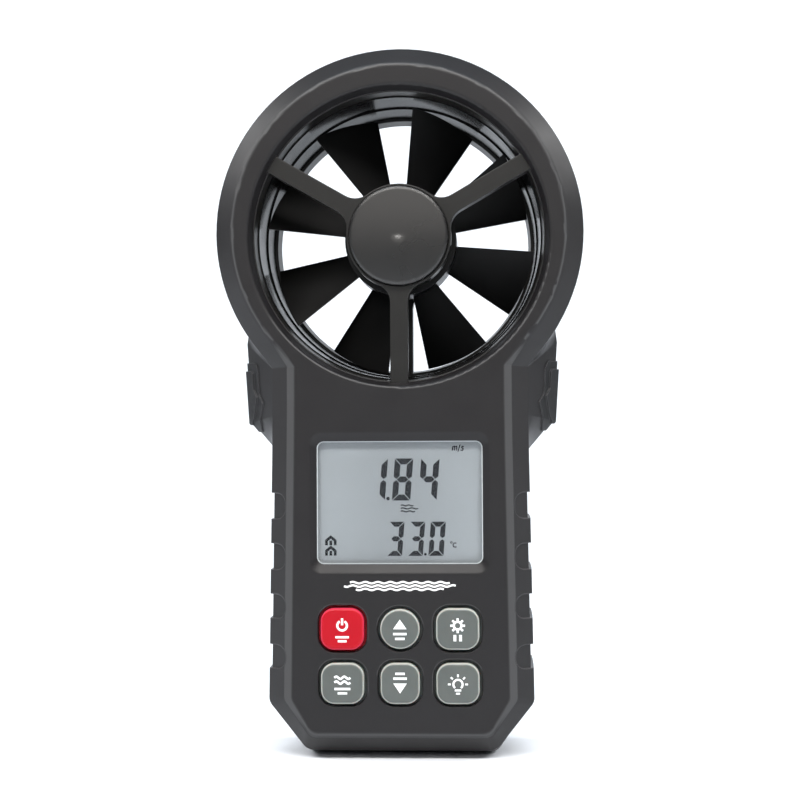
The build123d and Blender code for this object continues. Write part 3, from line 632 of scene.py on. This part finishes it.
# ------------------------------ key legends ---------------------------------
# Each sign is drawn in millimetres about the middle of its key, with strokes of about half a millimetre
def power_sign():
    sign = ribbon(arc_points(0, 0.9, 1.2, 120, 420), 0.55) + ribbon([(0, 1.0), (0, 2.7)], 0.55)
    return sign + bar(1.7, -2.0, 0.55) + bar(1.1, -3.0, 0.55)


def up_sign():
    arrow = [(-1.7, 0.0), (1.7, 0.0), (0, 2.4)]
    return [arrow] + bar(1.7, -1.2, 0.6) + bar(1.2, -2.4, 0.6)


def set_sign():
    """A gear wheel over a pause sign."""
    wheel = ring(0, 0.9, 0.95, 0.55)
    for k in range(8):
        c, s = math.cos(math.radians(45 * k)), math.sin(math.radians(45 * k))
        wheel += ribbon([(1.2 * c, 0.9 + 1.2 * s), (1.85 * c, 0.9 + 1.85 * s)], 0.55)
    pause = ribbon([(-0.7, -3.0), (-0.7, -1.4)], 0.7) + ribbon([(0.7, -3.0), (0.7, -1.4)], 0.7)
    return wheel + pause


def mode_sign():
    """Two waves of wind over two bars."""
    waves = []
    for row in (1.5, 0.3):
        waves += ribbon(wave(-2.0, 0.25, 16, row, 0.3, 1 / 8), 0.55)
    return waves + bar(2.0, -1.3, 0.6) + bar(1.2, -2.4, 0.55)


def down_sign():
    arrow = [(1.7, 0.1), (-1.7, 0.1), (0, -2.4)]
    return bar(1.7, 1.3, 0.6) + bar(1.2, 2.5, 0.6) + [arrow]


def light_sign():
    """A lamp bulb with five rays."""
    bulb = ribbon(arc_points(0, -0.1, 1.15, -50, 230), 0.5) + bar(0.8, -1.6, 0.5) + bar(0.5, -2.4, 0.45)
    for angle in (0, 45, 90, 135, 180):
        c, s = math.cos(math.radians(angle)), math.sin(math.radians(angle))
        bulb += ribbon([(1.8 * c, 1.8 * s - 0.1), (2.5 * c, 2.5 * s - 0.1)], 0.45)
    return bulb


def build_legends():
    """One printed sign on the face of each key, moving with it."""
    signs = {
        "power": power_sign(),
        "up": up_sign(),
        "set": set_sign(),
        "mode": mode_sign(),
        "down": down_sign(),
        "light": light_sign(),
    }
    white = print_material("legend_white", (0.80, 0.80, 0.80)).material
    for name, outlines in signs.items():
        low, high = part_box("key_" + name)
        x, z = (low.x + high.x) / 2 / MM, (low.z + high.z) / 2 / MM
        printed("legend_" + name, moved(outlines, x, z), low.y, white, "key_" + name)


def build_case_mark():
    """A row of wind streamlines between the display and the keys."""
    front_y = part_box("front_case")[0].y
    white = print_material("case_print", (0.78, 0.78, 0.77)).material
    outlines = []
    for row, half in STREAM_ROWS:
        step = 2 * half / STREAM_STEPS
        across = [step * k - half for k in range(STREAM_STEPS + 1)]
        line = [(x, row + STREAM_WAVE * math.sin(STREAM_TURN * x)) for x in across]
        outlines += ribbon(line, STREAM_STROKE)
    printed("front_mark", moved(outlines, 0, STREAM_Z), front_y, white, "housing")


# ------------------------------ stage ---------------------------------------
def build_backdrop():
    """A seamless pale sweep: floor, bend and wall in one sheet."""
    bend_y = SWEEP_WALL_Y - SWEEP_BEND
    profile = [(SWEEP_FRONT_Y, 0.0), (SWEEP_STRIP_Y, 0.0), (bend_y, 0.0)]
    for k in range(1, SWEEP_BEND_STEPS + 1):
        t = math.pi / 2 * k / SWEEP_BEND_STEPS
        profile.append((bend_y + SWEEP_BEND * math.sin(t), SWEEP_BEND - SWEEP_BEND * math.cos(t)))
    profile.append((SWEEP_WALL_Y, SWEEP_TOP))
    mesh = bpy.data.meshes.new("backdrop")
    shape = bmesh.new()
    rows = [[shape.verts.new((x, y, z)) for x in (-SWEEP_HALF_W, SWEEP_HALF_W)] for y, z in profile]
    for near, far in zip(rows, rows[1:]):
        shape.faces.new([near[0], near[1], far[1], far[0]])
    shape.to_mesh(mesh)
    shape.free()
    for face in mesh.polygons:
        face.use_smooth = True
    backdrop = bpy.data.objects.new("backdrop", mesh)
    bpy.context.scene.collection.objects.link(backdrop)
    paper = Finish("backdrop_paper", (0.86, 0.89, 0.93), 0.8)
    paper.shade(paper.noise(300, 2), 0.995, 1.005)
    mesh.materials.append(paper.material)


def area_light(name, place, target, size, power, color):
    data = bpy.data.lights.new(name, "AREA")
    data.shape = "RECTANGLE"
    data.size, data.size_y = size
    data.energy = power
    data.color = color
    light = bpy.data.objects.new(name, data)
    bpy.context.scene.collection.objects.link(light)
    light.location = place
    light.rotation_euler = (Vector(target) - Vector(place)).to_track_quat("-Z", "Y").to_euler()


def build_lights():
    world = bpy.data.worlds.new("studio")
    world.use_nodes = True
    background = world.node_tree.nodes["Background"]
    background.inputs["Color"].default_value = WORLD_COLOR
    background.inputs["Strength"].default_value = WORLD_STRENGTH
    bpy.context.scene.world = world
    for name, values in LIGHTS.items():
        area_light(name, *values)


def build_camera():
    data = bpy.data.cameras.new("camera")
    data.lens = CAMERA_LENS
    data.clip_start = 0.01
    camera = bpy.data.objects.new("camera", data)
    bpy.context.scene.collection.objects.link(camera)
    camera.location = CAMERA_PLACE
    aim = (CAMERA_TARGET - CAMERA_PLACE).to_track_quat("-Z", "Y")
    camera.rotation_euler = (aim @ Quaternion((0, 0, 1), CAMERA_ROLL)).to_euler()
    bpy.context.scene.camera = camera


build_camera()
dress_nodes(make_materials())
build_display()
build_legends()
build_case_mark()
build_backdrop()
build_lights()
bpy.context.scene.view_settings.view_transform = "Standard"
